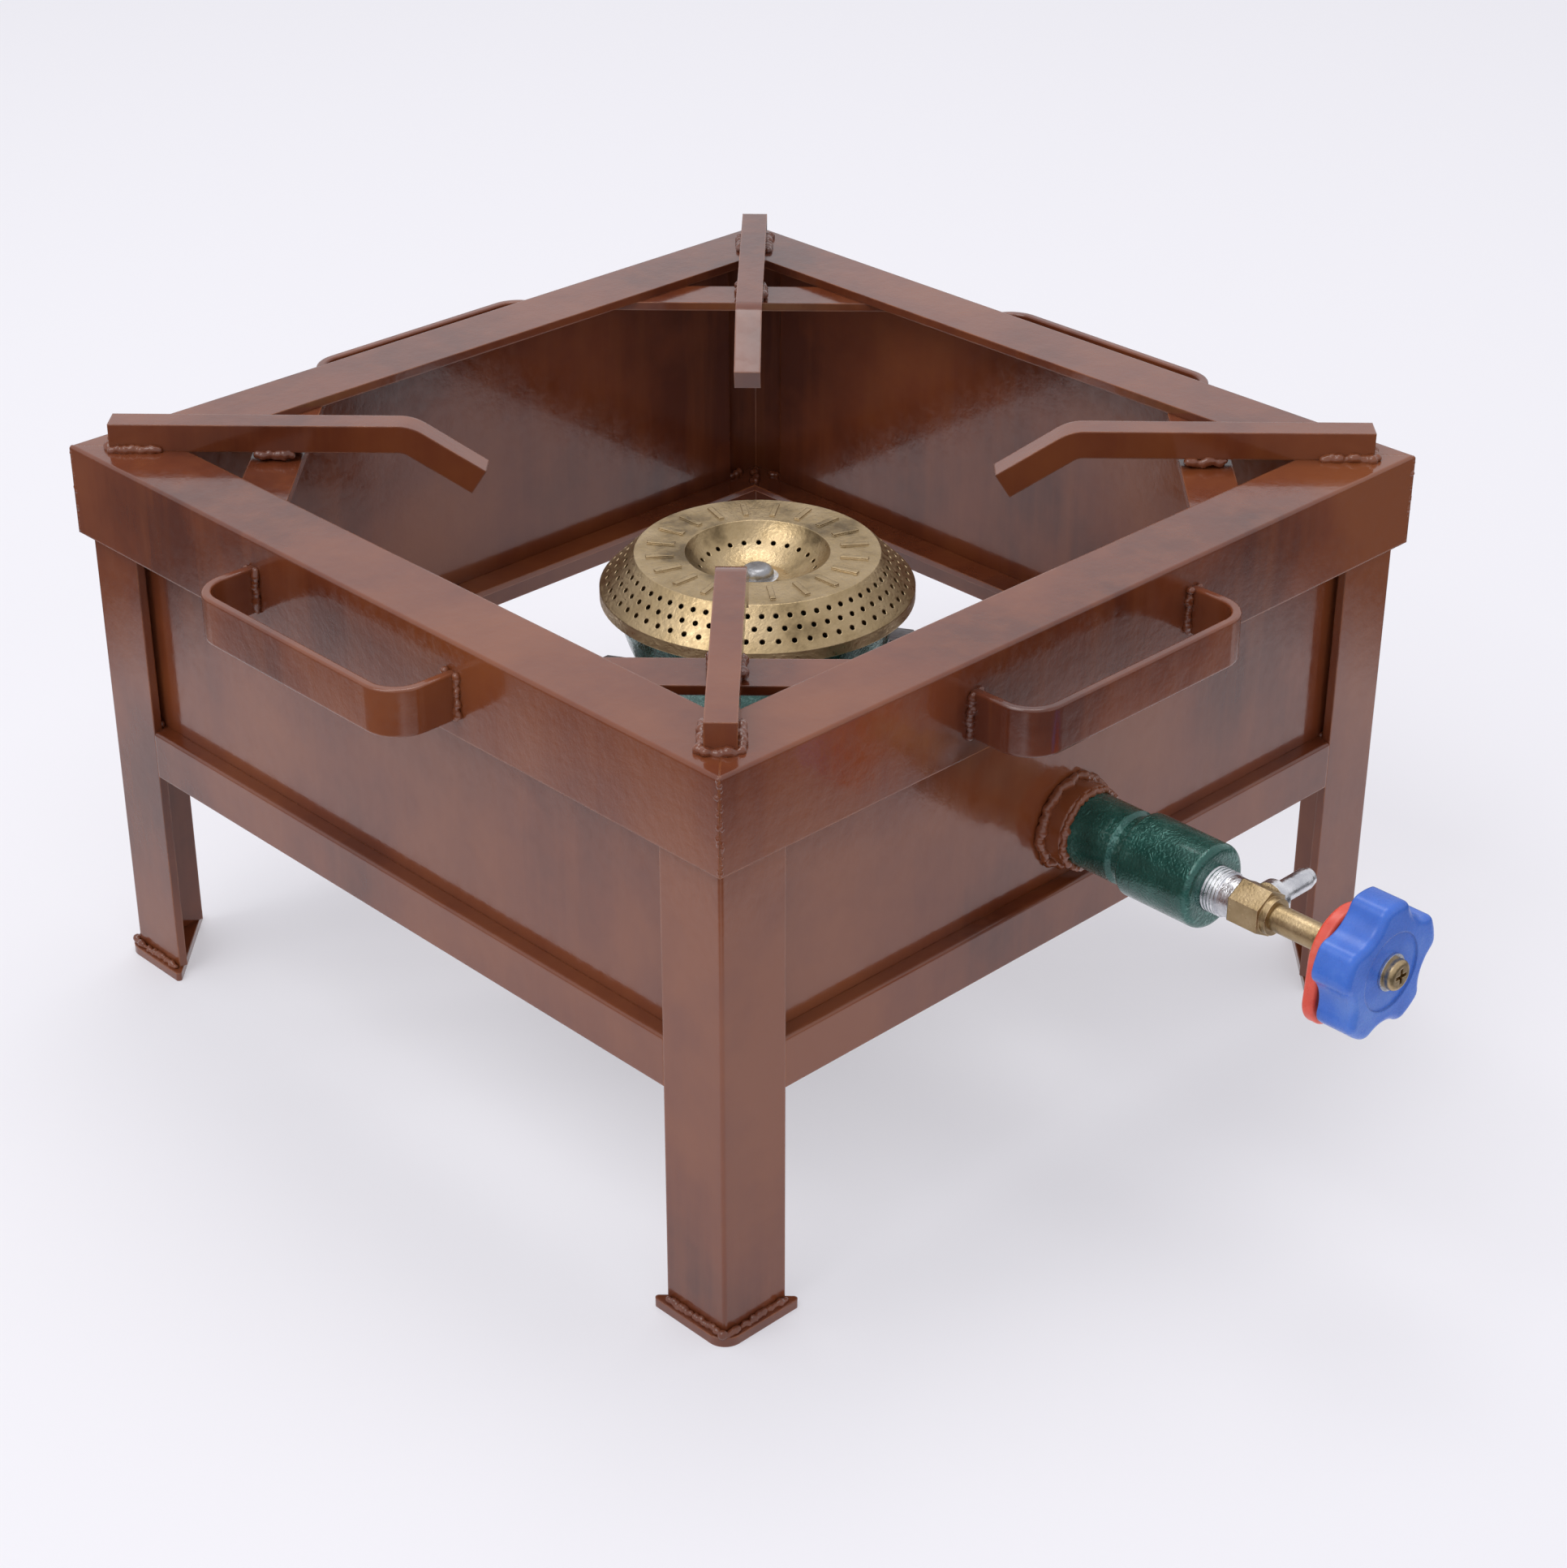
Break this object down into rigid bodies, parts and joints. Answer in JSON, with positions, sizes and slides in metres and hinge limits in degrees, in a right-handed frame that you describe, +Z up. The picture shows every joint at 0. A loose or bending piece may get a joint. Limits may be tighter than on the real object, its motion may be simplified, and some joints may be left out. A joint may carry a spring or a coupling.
{
  "type": "propane burner stand",
  "caption": "Square angle-iron burner stand with pot supports, carrying handles, a perforated brass burner, mixing pipe and needle valve with a lobed knob.",
  "frame": {"origin": "on the floor under the middle of the square frame", "axes": "+Z up; -Y is the side that the mixing pipe, valve and knob stand out of; +X is to the right looking along +Y"},
  "size_m": [0.462, 0.5814, 0.262],
  "materials": {
    "brown_enamel": "glossy dark red-brown enamel",
    "green_paint": "green hammered metallic paint",
    "brass": "cast and turned brass",
    "zinc": "bright zinc plate",
    "dark_steel": "dull grey steel",
    "steel": "turned steel",
    "packing": "graphite packing",
    "blue_plastic": "moulded blue plastic",
    "red_plastic": "moulded red plastic"
  },
  "bodies": {
    "stand": {"top_rail_front": "brown_enamel", "top_rail_right": "brown_enamel", "top_rail_back": "brown_enamel", "top_rail_left": "brown_enamel", "leg_front_left": "brown_enamel", "leg_front_right": "brown_enamel", "leg_back_right": "brown_enamel", "leg_back_left": "brown_enamel", "foot_plate_front_left": "brown_enamel", "foot_plate_front_right": "brown_enamel", "foot_plate_back_right": "brown_enamel", "foot_plate_back_left": "brown_enamel", "lower_rail_front": "brown_enamel", "lower_rail_right": "brown_enamel", "lower_rail_back": "brown_enamel", "lower_rail_left": "brown_enamel", "side_panel_front": "brown_enamel", "side_panel_right": "brown_enamel", "side_panel_back": "brown_enamel", "side_panel_left": "brown_enamel", "corner_brace_front_left": "brown_enamel", "corner_brace_front_right": "brown_enamel", "corner_brace_back_right": "brown_enamel", "corner_brace_back_left": "brown_enamel", "pot_support_front_left": "brown_enamel", "pot_support_front_right": "brown_enamel", "pot_support_back_right": "brown_enamel", "pot_support_back_left": "brown_enamel", "handle_front": "brown_enamel", "handle_right": "brown_enamel", "handle_back": "brown_enamel", "handle_left": "brown_enamel", "burner_bowl": "green_paint", "burner_cap": "brass", "cap_washer": "zinc", "cap_bolt": "dark_steel", "support_arm_right": "brown_enamel", "support_arm_left": "brown_enamel", "arm_bolts": "dark_steel", "arm_nuts": "dark_steel", "mixing_pipe": "green_paint", "pipe_collar": "brown_enamel", "pipe_socket": "green_paint", "jet_adapter": "zinc", "gas_jet": "brass", "valve_body": "brass", "hose_nipple": "zinc", "gland_nut": "brass", "gland_packing": "packing"},
    "needle": {"valve_needle": "steel"},
    "knob": {"spindle": "brass", "pointer_plate": "red_plastic", "knob": "blue_plastic", "knob_washer": "zinc", "knob_screw": "brass"}
  },
  "joints": [
    {"name": "needle_slide", "type": "slide", "parent": "stand", "child": "needle", "axis": [0, -1, 0], "range_m": [0, 0.003]},
    {"name": "knob_turn", "type": "hinge", "parent": "needle", "child": "knob", "pos_m": [0, -0.3, 0.15], "axis": [0, -1, 0], "range_deg": [0, 720]}
  ],
  "couplings": [
    {"joint": "needle_slide", "follows": "knob_turn", "m_per_rad": 0.00023873}
  ]
}
